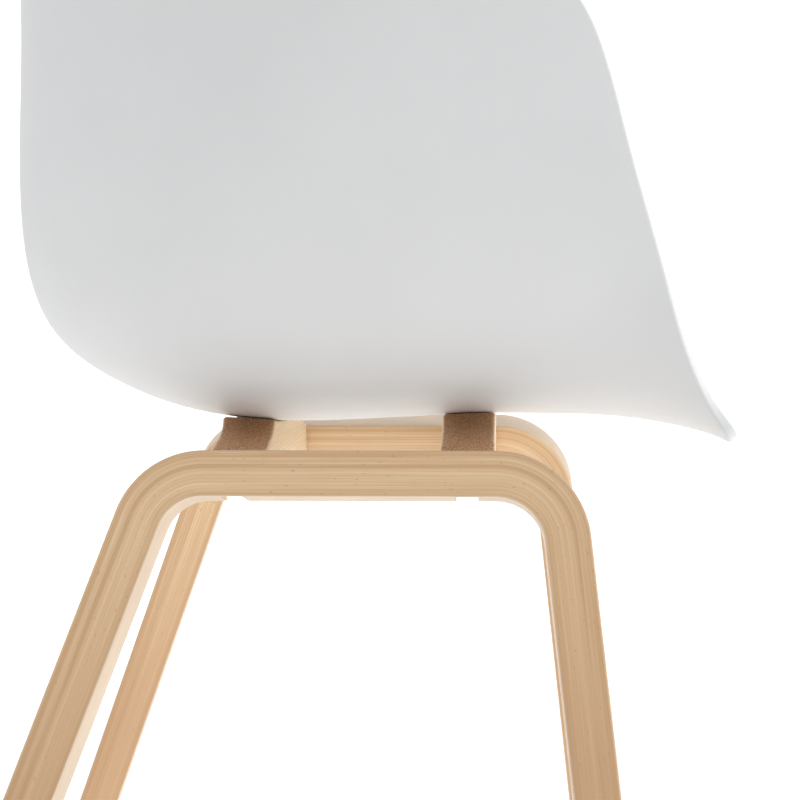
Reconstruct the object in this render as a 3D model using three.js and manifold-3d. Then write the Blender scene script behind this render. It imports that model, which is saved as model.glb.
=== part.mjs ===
// Dining armchair: a moulded bucket shell on two bent, laminated side frames tied by two beams.
// Millimetres, +Z up, front towards -Y, the sitter's right towards -X, origin on the floor
// under the middle of the chair.
import * as THREE from 'three';
import { mergeVertices } from 'three/addons/utils/BufferGeometryUtils.js';
import Module from 'manifold-3d';

const wasm = await Module();
wasm.setup();

// ---------------------------------------------------------------- driving dimensions
const GAP = 0.3; // clearance between touching pieces
const JOIN = 1; // how far two shapes run into each other before they are joined

// side frames: one laminated strip bent to an inverted U, leaning out towards the feet
const RAIL_HEIGHT = 440; // top outer edge of the rail above the floor
const RAIL_HALF_SPAN = 182; // top outer edge of the rail from the middle plane
const SPLAY = THREE.MathUtils.degToRad(10);
const STRIP_WIDTH = 40; // across the laminations' edges
const STRIP_THICK = 28; // through the laminations
const REAR_LEG = { corner: 100, rake: THREE.MathUtils.degToRad(20), bend: 56 };
const FRONT_LEG = { corner: -168, rake: THREE.MathUtils.degToRad(6.25), bend: 58 };
const LEG_REACH = 480; // long enough for the legs to be cut off level
const BEND_DIVISIONS = 7;

// beams: rest in slots cut in the rails' undersides and carry the shell
const BEAM_WIDTH = 34;
const BEAM_BOTTOM = 409.5;
const BEAM_Y = { front: -98.5, rear: 44 };
const BEAM_CRADLE = { front: 452.2, rear: 448.75 }; // top of each beam in its middle
const BEAM_TILT = { front: -0.04, rear: 0.0588 }; // slope of the top, as the shell's underside
const BEAM_SQUARE = 430; // below this height a beam's faces are level and upright
const CRADLE_SAG = 1700; // radius of the concave top of the beams is half of this
const CRADLE_HALF = 86; // half length of the raised part under the shell
const SHOULDER = [[95, -4.9], [134, -10.4], [140, -13.4], [142, -17.4]]; // beam end, from the cradle
const TONGUE = { width: 13, top: 9.3, bottom: 23, end: 4.3 }; // in the frame's own axes
const SLOT = { width: 13.6, top: 9, depth: 36 };

// shell
const WALL = 7;
const BOSS = { radius: 11, drop: 6, x: 60 };
const SHELL_ACROSS = 26; // divisions across the shell
const SHELL_ROWS = { front: 4, middle: 30, rear: 5 };
const FRONT_CORNER = { s: 0.18, t: 0.03 }; // rounding of the outline, in surface coordinates
const REAR_CORNER = { s: 0.45, t: 0.13 };

// The shell is lofted through stations that run from the front lip to the top of the back.
// Each gives the outer surface in the middle plane (y, z), the rim (x, y, z), how far the
// section runs out flat, and where its side wall starts (share of the width, share of the rise).
const STATIONS = [
  { middle: [-255.5, 444], rim: [201.5, -256, 445.5], flat: 0.66, wall: [0.9, 0.5] },
  { middle: [-229.5, 448.5], rim: [204.5, -242, 468], flat: 0.66, wall: [0.92, 0.3] },
  { middle: [-195.5, 452.5], rim: [214.5, -225.5, 506], flat: 0.66, wall: [0.88, 0.22] },
  { middle: [-158.5, 453.5], rim: [232, -209.5, 559.5], flat: 0.66, wall: [0.84, 0.19] },
  { middle: [-115, 453.5], rim: [256.5, -190, 623], flat: 0.66, wall: [0.8, 0.18] },
  { middle: [-69, 451.5], rim: [281.5, -166, 692], flat: 0.66, wall: [0.76, 0.18] },
  { middle: [-20.5, 449], rim: [293, -123.5, 719], flat: 0.66, wall: [0.74, 0.18] },
  { middle: [32.5, 448.5], rim: [294, -56, 720], flat: 0.66, wall: [0.74, 0.18] },
  { middle: [88, 456], rim: [286, 3, 724], flat: 0.62, wall: [0.77, 0.17] },
  { middle: [139, 475], rim: [270, 54.5, 730.5], flat: 0.56, wall: [0.78, 0.18] },
  { middle: [179, 506], rim: [251.5, 95, 738.5], flat: 0.5, wall: [0.78, 0.21] },
  { middle: [195.5, 557.5], rim: [233.5, 123.5, 746.5], flat: 0.46, wall: [0.78, 0.26] },
  { middle: [195.5, 625], rim: [216.5, 145.5, 756], flat: 0.44, wall: [0.77, 0.32] },
  { middle: [193, 695.5], rim: [202, 162.5, 767.5], flat: 0.42, wall: [0.75, 0.38] },
  { middle: [196.5, 759], rim: [195, 173.5, 777.5], flat: 0.4, wall: [0.73, 0.42] },
  { middle: [204, 799], rim: [193.5, 182, 788], flat: 0.4, wall: [0.72, 0.44] },
];

// fasteners and glides
const INSERT = { radius: 4.2, bore: 3.3, length: 9.4 };
const SEAT_SCREW = { shank: 3, head: 5.5, headHeight: 3.6 };
const WASHER = { radius: 6.4, bore: 3.3, thick: 1.6 };
const COUNTERBORE = { radius: 7, depth: 14 };
const FRAME_SCREW = { shank: 2, head: 3.9, headHeight: 2.4, length: 19 };
const GLIDE = { radius: 11, foot: 9.5, thick: 5, recess: 4.2, recessDepth: 2.4 };
const NAIL = { shank: 1.2, head: 3.6, headHeight: 1.2, length: 22 };
const ROUND_SEGMENTS = 16;

const materials = {
  shell: new THREE.MeshStandardMaterial({ color: 0xededeb, roughness: 0.55, metalness: 0 }),
  laminate: new THREE.MeshStandardMaterial({ color: 0xcca989, roughness: 0.6, metalness: 0 }),
  beamWood: new THREE.MeshStandardMaterial({ color: 0xd4bca2, roughness: 0.6, metalness: 0 }),
  steel: new THREE.MeshStandardMaterial({ color: 0x9a9c9e, roughness: 0.35, metalness: 1 }),
  brass: new THREE.MeshStandardMaterial({ color: 0xb8975a, roughness: 0.35, metalness: 1 }),
  glide: new THREE.MeshStandardMaterial({ color: 0xd8d6d0, roughness: 0.7, metalness: 0 }),
};

const chair = new THREE.Group();

// ---------------------------------------------------------------- solids and booleans
function toManifold(geometry) {
  const bare = geometry.clone();
  bare.deleteAttribute('normal');
  bare.deleteAttribute('uv');
  const welded = mergeVertices(bare, 1e-4);
  return new wasm.Manifold(new wasm.Mesh({
    numProp: 3,
    vertProperties: new Float32Array(welded.attributes.position.array),
    triVerts: new Uint32Array(welded.index.array),
  }));
}

function toGeometry(solid) {
  const mesh = solid.getMesh();
  const geometry = new THREE.BufferGeometry();
  geometry.setAttribute('position', new THREE.BufferAttribute(mesh.vertProperties, 3));
  geometry.setIndex(new THREE.BufferAttribute(mesh.triVerts, 1));
  geometry.computeVertexNormals();
  return geometry;
}

function addMesh(name, geometry, material, position = [0, 0, 0], parent = chair) {
  const mesh = new THREE.Mesh(geometry, material);
  mesh.name = name;
  mesh.position.set(...position);
  parent.add(mesh);
  return mesh;
}

// the same shape on the other side of the middle plane, faces still pointing out
function mirrorX(geometry) {
  const source = geometry.index ? geometry.toNonIndexed() : geometry.clone();
  const { array } = source.attributes.position;
  for (let corner = 0; corner < array.length; corner += 9) {
    for (let axis = 0; axis < 3; axis += 1) {
      const kept = array[corner + 3 + axis];
      array[corner + 3 + axis] = array[corner + 6 + axis];
      array[corner + 6 + axis] = kept;
    }
    for (const vertex of [0, 3, 6]) array[corner + vertex] *= -1;
  }
  source.computeVertexNormals();
  return source;
}

// upright cylinder from one height to another
function pillar(radius, low, high, x = 0, y = 0) {
  const geometry = new THREE.CylinderGeometry(radius, radius, high - low, ROUND_SEGMENTS);
  return geometry.rotateX(Math.PI / 2).translate(x, y, (low + high) / 2);
}

// a turned piece about its own upright axis, profile given as (radius, height)
function turned(profile) {
  const points = profile.map(([radius, height]) => new THREE.Vector2(radius, height));
  return new THREE.LatheGeometry(points, ROUND_SEGMENTS).rotateX(Math.PI / 2);
}

// ---------------------------------------------------------------- side frames
// Frame axes: x along the chair's Y, y up in the leaning plane, z inwards; zero at the rail's
// top outer edge. This places them for the sitter's right side.
const framePlace = new THREE.Matrix4().makeBasis(
  new THREE.Vector3(0, 1, 0),
  new THREE.Vector3(Math.sin(SPLAY), 0, Math.cos(SPLAY)),
  new THREE.Vector3(Math.cos(SPLAY), 0, -Math.sin(SPLAY)),
).setPosition(-RAIL_HALF_SPAN, 0, RAIL_HEIGHT);

function bendCentre(leg, towardsMiddle) {
  const tangent = leg.bend * Math.tan((Math.PI / 2 - leg.rake) / 2);
  return new THREE.Vector2(leg.corner + towardsMiddle * tangent, -leg.bend);
}

function stripOutline() {
  const rear = bendCentre(REAR_LEG, -1);
  const front = bendCentre(FRONT_LEG, 1);
  const footPoint = (leg, centre, radius, side) => new THREE.Vector2(
    centre.x + side * (radius * Math.cos(leg.rake) + LEG_REACH * Math.sin(leg.rake)),
    centre.y + radius * Math.sin(leg.rake) - LEG_REACH * Math.cos(leg.rake),
  );
  const rearInner = REAR_LEG.bend - STRIP_THICK;
  const frontInner = FRONT_LEG.bend - STRIP_THICK;
  const up = Math.PI / 2;
  const shape = new THREE.Shape();
  shape.moveTo(...footPoint(REAR_LEG, rear, rearInner, 1).toArray());
  shape.lineTo(...footPoint(REAR_LEG, rear, REAR_LEG.bend, 1).toArray());
  shape.absarc(rear.x, rear.y, REAR_LEG.bend, REAR_LEG.rake, up, false);
  shape.absarc(front.x, front.y, FRONT_LEG.bend, up, Math.PI - FRONT_LEG.rake, false);
  shape.lineTo(...footPoint(FRONT_LEG, front, FRONT_LEG.bend, -1).toArray());
  shape.lineTo(...footPoint(FRONT_LEG, front, frontInner, -1).toArray());
  shape.absarc(front.x, front.y, frontInner, Math.PI - FRONT_LEG.rake, up, true);
  shape.absarc(rear.x, rear.y, rearInner, up, REAR_LEG.rake, true);
  shape.closePath();
  return shape;
}

// a block in the frame's axes: centred on y, from one depth in the strip to another
function frameBlock(y, width, top, bottom, from, to) {
  const block = new THREE.BoxGeometry(width, bottom - top, to - from);
  return block.translate(y, -(top + bottom) / 2, (from + to) / 2).applyMatrix4(framePlace);
}

const SCREW_DEPTH = (TONGUE.end + STRIP_WIDTH) / 2; // frame screws pass the tongue's middle

// a turned shape standing in the frame's axes at a frame screw
function alongFrameScrew(geometry, y) {
  return geometry.rotateX(-Math.PI / 2).translate(y, 0, SCREW_DEPTH).applyMatrix4(framePlace);
}

// middle of a leg's end on the floor, for the sitter's right side
function footCentre(leg, side) {
  const down = (RAIL_HEIGHT - GLIDE.thick) / Math.cos(SPLAY);
  const across = STRIP_THICK / 2 / Math.cos(leg.rake);
  const y = leg.corner + side * (down * Math.tan(leg.rake) - across);
  const x = -RAIL_HALF_SPAN - down * Math.sin(SPLAY) + STRIP_WIDTH / 2 / Math.cos(SPLAY);
  return [x, y];
}

const FEET = { front: footCentre(FRONT_LEG, -1), rear: footCentre(REAR_LEG, 1) };

function sideFrame() {
  const strip = new THREE.ExtrudeGeometry(stripOutline(), {
    depth: STRIP_WIDTH, bevelEnabled: false, curveSegments: BEND_DIVISIONS,
  }).applyMatrix4(framePlace);
  let solid = toManifold(strip);
  const floorCut = new THREE.BoxGeometry(900, 900, 200).translate(0, 0, GLIDE.thick + GAP - 100);
  solid = solid.subtract(toManifold(floorCut));
  for (const y of Object.values(BEAM_Y)) {
    const from = STRIP_WIDTH - SLOT.depth;
    const slot = frameBlock(y, SLOT.width, SLOT.top, STRIP_THICK + 5, from, STRIP_WIDTH + 5);
    solid = solid.subtract(toManifold(slot));
    const pilotTop = TONGUE.bottom - FRAME_SCREW.length - FRAME_SCREW.headHeight - GAP;
    const pilot = pillar(FRAME_SCREW.shank + GAP, -SLOT.top - JOIN, -pilotTop);
    solid = solid.subtract(toManifold(alongFrameScrew(pilot, y)));
  }
  for (const [x, y] of Object.values(FEET)) {
    const hole = pillar(NAIL.shank + GAP, 0, NAIL.length + GLIDE.recessDepth + GAP, x, y);
    solid = solid.subtract(toManifold(hole));
  }
  return toGeometry(solid);
}

// ---------------------------------------------------------------- beams
// inner face of a leaning rail: distance from the middle plane at a height
function railInnerFace(z) {
  const topEdge = RAIL_HEIGHT - STRIP_WIDTH * Math.sin(SPLAY);
  return RAIL_HALF_SPAN - STRIP_WIDTH * Math.cos(SPLAY) + (topEdge - z) * Math.tan(SPLAY);
}

function beam(y, cradle, tilt) {
  const face = (z) => railInnerFace(z) - GAP / Math.cos(SPLAY);
  const half = [[face(BEAM_BOTTOM), BEAM_BOTTOM]];
  for (const [x, drop] of [...SHOULDER].reverse()) {
    const z = cradle + drop;
    half.push([Math.min(x, face(z)), z]);
  }
  const steps = 8;
  for (let step = steps; step >= 0; step -= 1) {
    const x = (CRADLE_HALF * step) / steps;
    half.push([x, cradle + (x * x) / CRADLE_SAG]);
  }
  const otherHalf = half.slice(0, -1).reverse().map(([x, z]) => [-x, z]);
  const outline = [...half, ...otherHalf].map(([x, z]) => new THREE.Vector2(x, z));
  const body = new THREE.ExtrudeGeometry(new THREE.Shape(outline), {
    depth: BEAM_WIDTH, bevelEnabled: false,
  }).rotateX(Math.PI / 2).translate(0, y + BEAM_WIDTH / 2, 0);
  const corners = body.attributes.position;
  for (let i = 0; i < corners.count; i += 1) {
    const z = corners.getZ(i);
    if (z > BEAM_SQUARE) corners.setZ(i, z + tilt * (corners.getY(i) - y));
  }
  const inside = STRIP_WIDTH + GAP + JOIN;
  const tongue = frameBlock(y, TONGUE.width, TONGUE.top, TONGUE.bottom, TONGUE.end, inside);
  const bore = pillar(FRAME_SCREW.shank + GAP, -TONGUE.bottom - JOIN, -TONGUE.top + JOIN);
  const sink = TONGUE.bottom - FRAME_SCREW.headHeight - GAP;
  const sinkHole = pillar(FRAME_SCREW.head + GAP, -TONGUE.bottom - JOIN, -sink);
  const cutters = [alongFrameScrew(bore, y), alongFrameScrew(sinkHole, y)];
  let solid = toManifold(body);
  for (const flip of [(shape) => shape, mirrorX]) {
    solid = solid.add(toManifold(flip(tongue)));
    for (const cutter of cutters) solid = solid.subtract(toManifold(flip(cutter)));
  }
  const seat = BEAM_BOTTOM + COUNTERBORE.depth;
  for (const x of [-BOSS.x, BOSS.x]) {
    const top = cradle + (x * x) / CRADLE_SAG;
    const bossFloor = shellUnderside(x, y) - BOSS.drop - GAP;
    const holes = [
      pillar(SEAT_SCREW.shank + GAP, BEAM_BOTTOM - JOIN, top + JOIN, x, y),
      pillar(COUNTERBORE.radius, BEAM_BOTTOM - JOIN, seat, x, y),
      pillar(BOSS.radius + GAP, bossFloor, top + 5, x, y),
    ];
    for (const hole of holes) solid = solid.subtract(toManifold(hole));
  }
  return toGeometry(solid);
}

// ---------------------------------------------------------------- shell
// natural cubic spline through equally spaced values
function naturalSpline(values) {
  const count = values.length;
  const ratio = new Array(count).fill(0);
  const bend = new Array(count).fill(0);
  for (let i = 1; i < count - 1; i += 1) {
    const pivot = 4 - ratio[i - 1];
    ratio[i] = 1 / pivot;
    const curve = 6 * (values[i + 1] - 2 * values[i] + values[i - 1]);
    bend[i] = (curve - bend[i - 1]) / pivot;
  }
  for (let i = count - 2; i > 0; i -= 1) bend[i] -= ratio[i] * bend[i + 1];
  return (u) => {
    const i = Math.min(Math.max(Math.floor(u), 0), count - 2);
    const b = u - i;
    const a = 1 - b;
    return a * values[i] + b * values[i + 1]
      + ((a ** 3 - a) * bend[i] + (b ** 3 - b) * bend[i + 1]) / 6;
  };
}

const stationValues = STATIONS.map(({ middle, rim, flat, wall }) => [...middle, ...rim, flat, ...wall]);
const stationSplines = stationValues[0].map((_, k) => naturalSpline(stationValues.map((row) => row[k])));

// outer surface: s from -1 to 1 across, t from 0 at the lip to 1 at the top of the back
function shellPoint(s, t) {
  const u = t * (STATIONS.length - 1);
  const [my, mz, rx, ry, rz, flat, wallOut, wallUp] = stationSplines.map((spline) => spline(u));
  const a = Math.abs(s);
  const near = 3 * a * (1 - a) ** 2;
  const far = 3 * a * a * (1 - a);
  const end = a ** 3;
  const out = rx * (near * flat + far * wallOut + end);
  const rise = far * wallUp + end;
  return new THREE.Vector3(Math.sign(s) * out, my + rise * (ry - my), mz + rise * (rz - mz));
}

// unit normal towards the sitter
function shellNormal(s, t) {
  const step = 1e-3;
  const across = shellPoint(s + step, t).sub(shellPoint(s - step, t));
  const along = shellPoint(s, t + step).sub(shellPoint(s, t - step));
  return across.cross(along).normalize();
}

// lowest outer height of the shell at a place under the seat
function shellUnderside(x, y) {
  let best = { miss: Infinity, z: 0 };
  for (let t = 0.1; t < 0.75; t += 0.002) {
    for (let s = 0; s < 0.6; s += 0.005) {
      const point = shellPoint(s, t);
      const miss = Math.hypot(point.x - Math.abs(x), point.y - y);
      if (miss < best.miss) best = { miss, z: point.z };
    }
  }
  return best.z;
}

// rows of the surface: how far along, and the share of the width inside the rounded outline
function shellRows() {
  const rows = [];
  const corner = (size, part) => {
    const angle = (Math.PI / 2) * part;
    return [size.t * (1 - Math.cos(angle)), 1 - size.s * (1 - Math.sin(angle))];
  };
  for (let i = 0; i < SHELL_ROWS.front; i += 1) rows.push(corner(FRONT_CORNER, i / SHELL_ROWS.front));
  const middle = 1 - FRONT_CORNER.t - REAR_CORNER.t;
  for (let i = 0; i <= SHELL_ROWS.middle; i += 1) {
    rows.push([FRONT_CORNER.t + (middle * i) / SHELL_ROWS.middle, 1]);
  }
  for (let i = SHELL_ROWS.rear - 1; i >= 0; i -= 1) {
    const [t, share] = corner(REAR_CORNER, i / SHELL_ROWS.rear);
    rows.push([1 - t, share]);
  }
  return rows;
}

function shellSkin() {
  const rows = shellRows();
  const columns = SHELL_ACROSS + 1;
  const outer = [];
  const inner = [];
  for (const [t, share] of rows) {
    for (let i = 0; i < columns; i += 1) {
      const s = share * ((2 * i) / SHELL_ACROSS - 1);
      const point = shellPoint(s, t);
      outer.push(point);
      inner.push(point.clone().addScaledVector(shellNormal(s, t), WALL));
    }
  }
  const indices = [];
  const quad = (a, b, c, d) => indices.push(a, b, c, a, c, d);
  const layer = outer.length;
  for (let r = 0; r < rows.length - 1; r += 1) {
    for (let i = 0; i < SHELL_ACROSS; i += 1) {
      const a = r * columns + i;
      quad(a, a + columns, a + columns + 1, a + 1);
      quad(layer + a, layer + a + 1, layer + a + columns + 1, layer + a + columns);
    }
  }
  const last = (rows.length - 1) * columns;
  for (let i = 0; i < SHELL_ACROSS; i += 1) {
    quad(i, i + 1, layer + i + 1, layer + i);
    quad(last + i + 1, last + i, layer + last + i, layer + last + i + 1);
  }
  for (let r = 0; r < rows.length - 1; r += 1) {
    const a = r * columns;
    const b = a + SHELL_ACROSS;
    quad(a + columns, a, layer + a, layer + a + columns);
    quad(b, b + columns, layer + b + columns, layer + b);
  }
  const geometry = new THREE.BufferGeometry();
  const positions = [...outer, ...inner].flatMap((point) => point.toArray());
  geometry.setAttribute('position', new THREE.Float32BufferAttribute(positions, 3));
  geometry.setIndex(indices);
  return geometry;
}

const mountings = [];
for (const [place, y] of Object.entries(BEAM_Y)) {
  for (const [side, sign] of [['right', -1], ['left', 1]]) {
    const x = sign * BOSS.x;
    mountings.push({ name: `${place}_${side}`, x, y, bossEnd: shellUnderside(x, y) - BOSS.drop });
  }
}

function seatShell() {
  let solid = toManifold(shellSkin());
  for (const { x, y, bossEnd } of mountings) {
    const boss = pillar(BOSS.radius, bossEnd, bossEnd + BOSS.drop + WALL / 2, x, y);
    const socket = pillar(INSERT.radius + GAP, bossEnd - JOIN, bossEnd + INSERT.length + 2 * GAP, x, y);
    solid = solid.add(toManifold(boss)).subtract(toManifold(socket));
  }
  return toGeometry(solid);
}

// ---------------------------------------------------------------- fasteners and glides
function tube(outer, bore, length) {
  return turned([[bore, 0], [outer, 0], [outer, length], [bore, length], [bore, 0]]);
}

// head at the bottom, tip at the top, zero under the head's bearing face
function screw(size, length) {
  return turned([
    [0, -size.headHeight], [size.head * 0.8, -size.headHeight], [size.head, -size.headHeight * 0.6],
    [size.head, 0], [size.shank, 0], [size.shank, length - size.shank], [0, length],
  ]);
}

function glideDisc() {
  return turned([
    [NAIL.shank + GAP, GLIDE.recessDepth], [GLIDE.recess, GLIDE.recessDepth], [GLIDE.recess, 0],
    [GLIDE.foot, 0], [GLIDE.radius, 1.5], [GLIDE.radius, GLIDE.thick],
    [NAIL.shank + GAP, GLIDE.thick], [NAIL.shank + GAP, GLIDE.recessDepth],
  ]);
}

// ---------------------------------------------------------------- assembly
addMesh('seat_shell', seatShell(), materials.shell);

const rightFrame = sideFrame();
addMesh('right_side_frame', rightFrame, materials.laminate);
addMesh('left_side_frame', mirrorX(rightFrame), materials.laminate);

for (const [place, y] of Object.entries(BEAM_Y)) {
  addMesh(`${place}_beam`, beam(y, BEAM_CRADLE[place], BEAM_TILT[place]), materials.beamWood);
}

const washerTop = BEAM_BOTTOM + COUNTERBORE.depth - GAP;
for (const { name, x, y, bossEnd } of mountings) {
  const insert = tube(INSERT.radius, INSERT.bore, INSERT.length);
  addMesh(`thread_insert_${name}`, insert, materials.brass, [x, y, bossEnd + GAP]);
  const washer = tube(WASHER.radius, WASHER.bore, WASHER.thick);
  addMesh(`seat_washer_${name}`, washer, materials.steel, [x, y, washerTop - WASHER.thick]);
  const headFace = washerTop - WASHER.thick - GAP;
  const seatScrew = screw(SEAT_SCREW, bossEnd + INSERT.length - headFace);
  addMesh(`seat_screw_${name}`, seatScrew, materials.steel, [x, y, headFace]);
}

for (const [place, y] of Object.entries(BEAM_Y)) {
  const headFace = FRAME_SCREW.headHeight - TONGUE.bottom;
  const upright = screw(FRAME_SCREW, FRAME_SCREW.length).translate(0, 0, headFace);
  const right = alongFrameScrew(upright, y);
  addMesh(`frame_screw_${place}_right`, right, materials.steel);
  addMesh(`frame_screw_${place}_left`, mirrorX(right), materials.steel);
}

for (const [place, [x, y]] of Object.entries(FEET)) {
  for (const [side, sign] of [['right', 1], ['left', -1]]) {
    addMesh(`glide_${place}_${side}`, glideDisc(), materials.glide, [sign * x, y, 0]);
    const nail = screw(NAIL, NAIL.length);
    addMesh(`glide_nail_${place}_${side}`, nail, materials.steel, [sign * x, y, GLIDE.recessDepth - GAP]);
  }
}

export default chair;
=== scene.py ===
import math

import bmesh
import bpy
import numpy as np
from mathutils import Matrix, Vector


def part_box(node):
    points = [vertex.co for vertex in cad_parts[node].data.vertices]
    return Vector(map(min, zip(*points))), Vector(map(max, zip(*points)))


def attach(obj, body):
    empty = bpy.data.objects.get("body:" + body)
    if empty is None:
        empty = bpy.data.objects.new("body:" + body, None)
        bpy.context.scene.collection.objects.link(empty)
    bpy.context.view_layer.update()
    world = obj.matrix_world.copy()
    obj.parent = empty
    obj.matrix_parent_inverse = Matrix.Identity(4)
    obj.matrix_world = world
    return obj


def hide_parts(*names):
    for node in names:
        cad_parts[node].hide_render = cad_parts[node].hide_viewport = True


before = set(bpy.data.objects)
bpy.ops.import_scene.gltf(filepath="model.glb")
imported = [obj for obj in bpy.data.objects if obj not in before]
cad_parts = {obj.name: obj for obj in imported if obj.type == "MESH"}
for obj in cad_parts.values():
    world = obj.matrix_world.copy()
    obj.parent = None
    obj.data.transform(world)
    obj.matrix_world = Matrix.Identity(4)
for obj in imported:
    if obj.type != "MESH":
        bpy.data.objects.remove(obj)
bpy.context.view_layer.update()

MM = 0.001

# ------------------------------------------------------------------ dimensions, millimetres
GAP = 0.3  # clearance between touching pieces
JOIN = 1  # how far a cutter or a joined shape runs past the face it meets

# side frames: a laminated strip bent to an inverted U, in a plane that leans out by SPLAY
RAIL_HEIGHT = 440
RAIL_HALF_SPAN = 182
SPLAY = math.radians(10)
STRIP_WIDTH = 40
STRIP_THICK = 28
PLY = 2.15
FACE_VENEER = {"inside": 0.9, "outside": 0.4}  # depths where the paler face veneer fades in
OUTER_ROUND = 2.4
INNER_ROUND = 0.8
REAR_LEG = {"corner": 100, "rake": math.radians(20), "bend": 56}
FRONT_LEG = {"corner": -168, "rake": math.radians(6.25), "bend": 58}
FOOT_HEIGHT = 5.3
FOOT_CHAMFER = 1.1
LEG_RINGS = 11
BEND_RINGS = 24
SLOT = {"width": 13.6, "top": 9, "depth": 36}

# beams
BEAM_WIDTH = 34
BEAM_BOTTOM = 409.5
BEAM_Y = {"front": -98.5, "rear": 44}
BEAM_CRADLE = {"front": 452.2, "rear": 448.75}
BEAM_TILT = {"front": -0.04, "rear": 0.0588}  # slope of a beam's upper part, towards the back
BEAM_SQUARE = 430  # below this height a beam's faces are level and upright
BEAM_ROUND = 2.8
# a beam's end from its top corner inwards: distance from the middle, height from the cradle
BEAM_END = {"corner": -17.4, "step": (140.8, -14.4), "ledge": (139.5, -11.9)}
SHOULDER_PULL = {"low": (118, -6.6), "high": (93, -7.0)}
SHOULDER_STEPS = 16
CRADLE_STEPS = 12
CRADLE_SAG = 1700  # the hollowed top rises by the square of x over this
CRADLE_HALF = 86
TONGUE = {"width": 13, "top": 9.3, "bottom": 23, "end": 4.3}

# fasteners and glides; the nail and the insert are turned from (radius, height) profiles
SEAT_SCREW_X = 60
COUNTERBORE = {"radius": 7, "depth": 14}
BOSS = {"radius": 11, "drop": 6}
INSERT = {"radius": 4.2, "bore": 3.3, "length": 9.4}
WASHER = {"radius": 6.4, "bore": 3.3, "thick": 1.6, "round": 0.35}
SEAT_SCREW = {"shank": 3, "head": 5.5, "head_height": 3.6, "drive": 2.3}
FRAME_SCREW = {"shank": 2, "head": 3.9, "head_height": 2.4, "drive": 1.5}
FRAME_SCREW_LENGTH = 19
GLIDE = {"radius": 11, "foot": 9.5, "thick": 5, "recess": 4.2, "depth": 2.4, "bore": 1.5}
NAIL = [(0, -1.2), (2.4, -1.15), (3.3, -0.9), (3.6, -0.4), (3.5, 0), (1.2, 0), (1.2, 19.5), (0, 22)]
KNURL = [(3.3, 0), (4.0, 0), (4.2, 0.3), (4.2, 2.8), (3.8, 3.1), (3.8, 4.4), (4.2, 4.7),
         (4.2, 9.1), (4.0, 9.4), (3.3, 9.4)]

# seat shell: stations from the front lip to the top of the back, as (middle y, z),
# (rim x, y, z), how far the section runs flat, and where its side wall starts
WALL = 7
EDGE_ROUND = 1.7
ROUND_STEPS = 4
STATIONS = [
    ((-255.5, 444), (201.5, -256, 445.5), 0.66, (0.9, 0.5)),
    ((-229.5, 448.5), (204.5, -242, 468), 0.66, (0.92, 0.3)),
    ((-195.5, 452.5), (214.5, -225.5, 506), 0.66, (0.88, 0.22)),
    ((-158.5, 453.5), (232, -209.5, 559.5), 0.66, (0.84, 0.19)),
    ((-115, 453.5), (256.5, -190, 623), 0.66, (0.8, 0.18)),
    ((-69, 451.5), (281.5, -166, 692), 0.66, (0.76, 0.18)),
    ((-20.5, 449), (293, -123.5, 719), 0.66, (0.74, 0.18)),
    ((32.5, 448.5), (294, -56, 720), 0.66, (0.74, 0.18)),
    ((88, 456), (286, 3, 724), 0.62, (0.77, 0.17)),
    ((139, 475), (270, 54.5, 730.5), 0.56, (0.78, 0.18)),
    ((179, 506), (251.5, 95, 738.5), 0.5, (0.78, 0.21)),
    ((195.5, 557.5), (233.5, 123.5, 746.5), 0.46, (0.78, 0.26)),
    ((195.5, 625), (216.5, 145.5, 756), 0.44, (0.77, 0.32)),
    ((193, 695.5), (202, 162.5, 767.5), 0.42, (0.75, 0.38)),
    ((196.5, 759), (195, 173.5, 777.5), 0.4, (0.73, 0.42)),
    ((204, 799), (193.5, 182, 788), 0.4, (0.72, 0.44)),
]
# share of the half width (s) and of the length (t) that the outline's rounded corners take
FRONT_CORNER = {"s": 0.18, "t": 0.03}
REAR_CORNER = {"s": 0.45, "t": 0.13}
SHELL_ACROSS = 96
SHELL_ROWS = {"front": 10, "middle": 116, "rear": 18}
SLOPE_STEP = 1e-3  # for slopes taken from two nearby points of the shell's surface

# where the materials change, as (start, full)
LEG_TONE = (140, 340)  # along the strip from its middle
END_GRAIN = (84.5, 86.2)  # from the middle of a beam
END_PAINTED_SHADE = (428, 450)  # height of the painted contact shade at the top of the beams' end grain
GLIDE_WEAR = (1.2, 0)  # height above the floor


# ------------------------------------------------------------------ mesh helpers
def make_object(name, mesh, material, angle=35):
    """Links a mesh as a piece on the chair's one body, smooth but for edges over the angle."""
    mesh.shade_smooth()
    mesh.set_sharp_from_angle(angle=math.radians(angle))
    mesh.materials.clear()
    mesh.materials.append(material)
    piece = bpy.data.objects.new(name, mesh)
    bpy.context.collection.objects.link(piece)
    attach(piece, "root")
    return piece


def mesh_from(name, verts, faces):
    """A mesh from millimetre points, with its faces turned outwards."""
    mesh = bpy.data.meshes.new(name)
    mesh.from_pydata([tuple(c * MM for c in v) for v in verts], [], faces)
    bm = bmesh.new()
    bm.from_mesh(mesh)
    bmesh.ops.recalc_face_normals(bm, faces=bm.faces)
    bm.to_mesh(mesh)
    bm.free()
    return mesh


def boolean(mesh, tools, operation):
    """Joins or cuts the mesh with each tool mesh in turn."""
    for tool in tools:
        base = bpy.data.objects.new("boolean_base", mesh)
        other = bpy.data.objects.new("boolean_tool", tool)
        for piece in (base, other):
            bpy.context.collection.objects.link(piece)
        modifier = base.modifiers.new("cut", "BOOLEAN")
        modifier.operation = operation
        modifier.solver = "EXACT"
        modifier.object = other
        graph = bpy.context.evaluated_depsgraph_get()
        result = bpy.data.meshes.new_from_object(base.evaluated_get(graph))
        for piece in (base, other):
            bpy.data.objects.remove(piece)
        mesh = result
    return mesh


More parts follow.
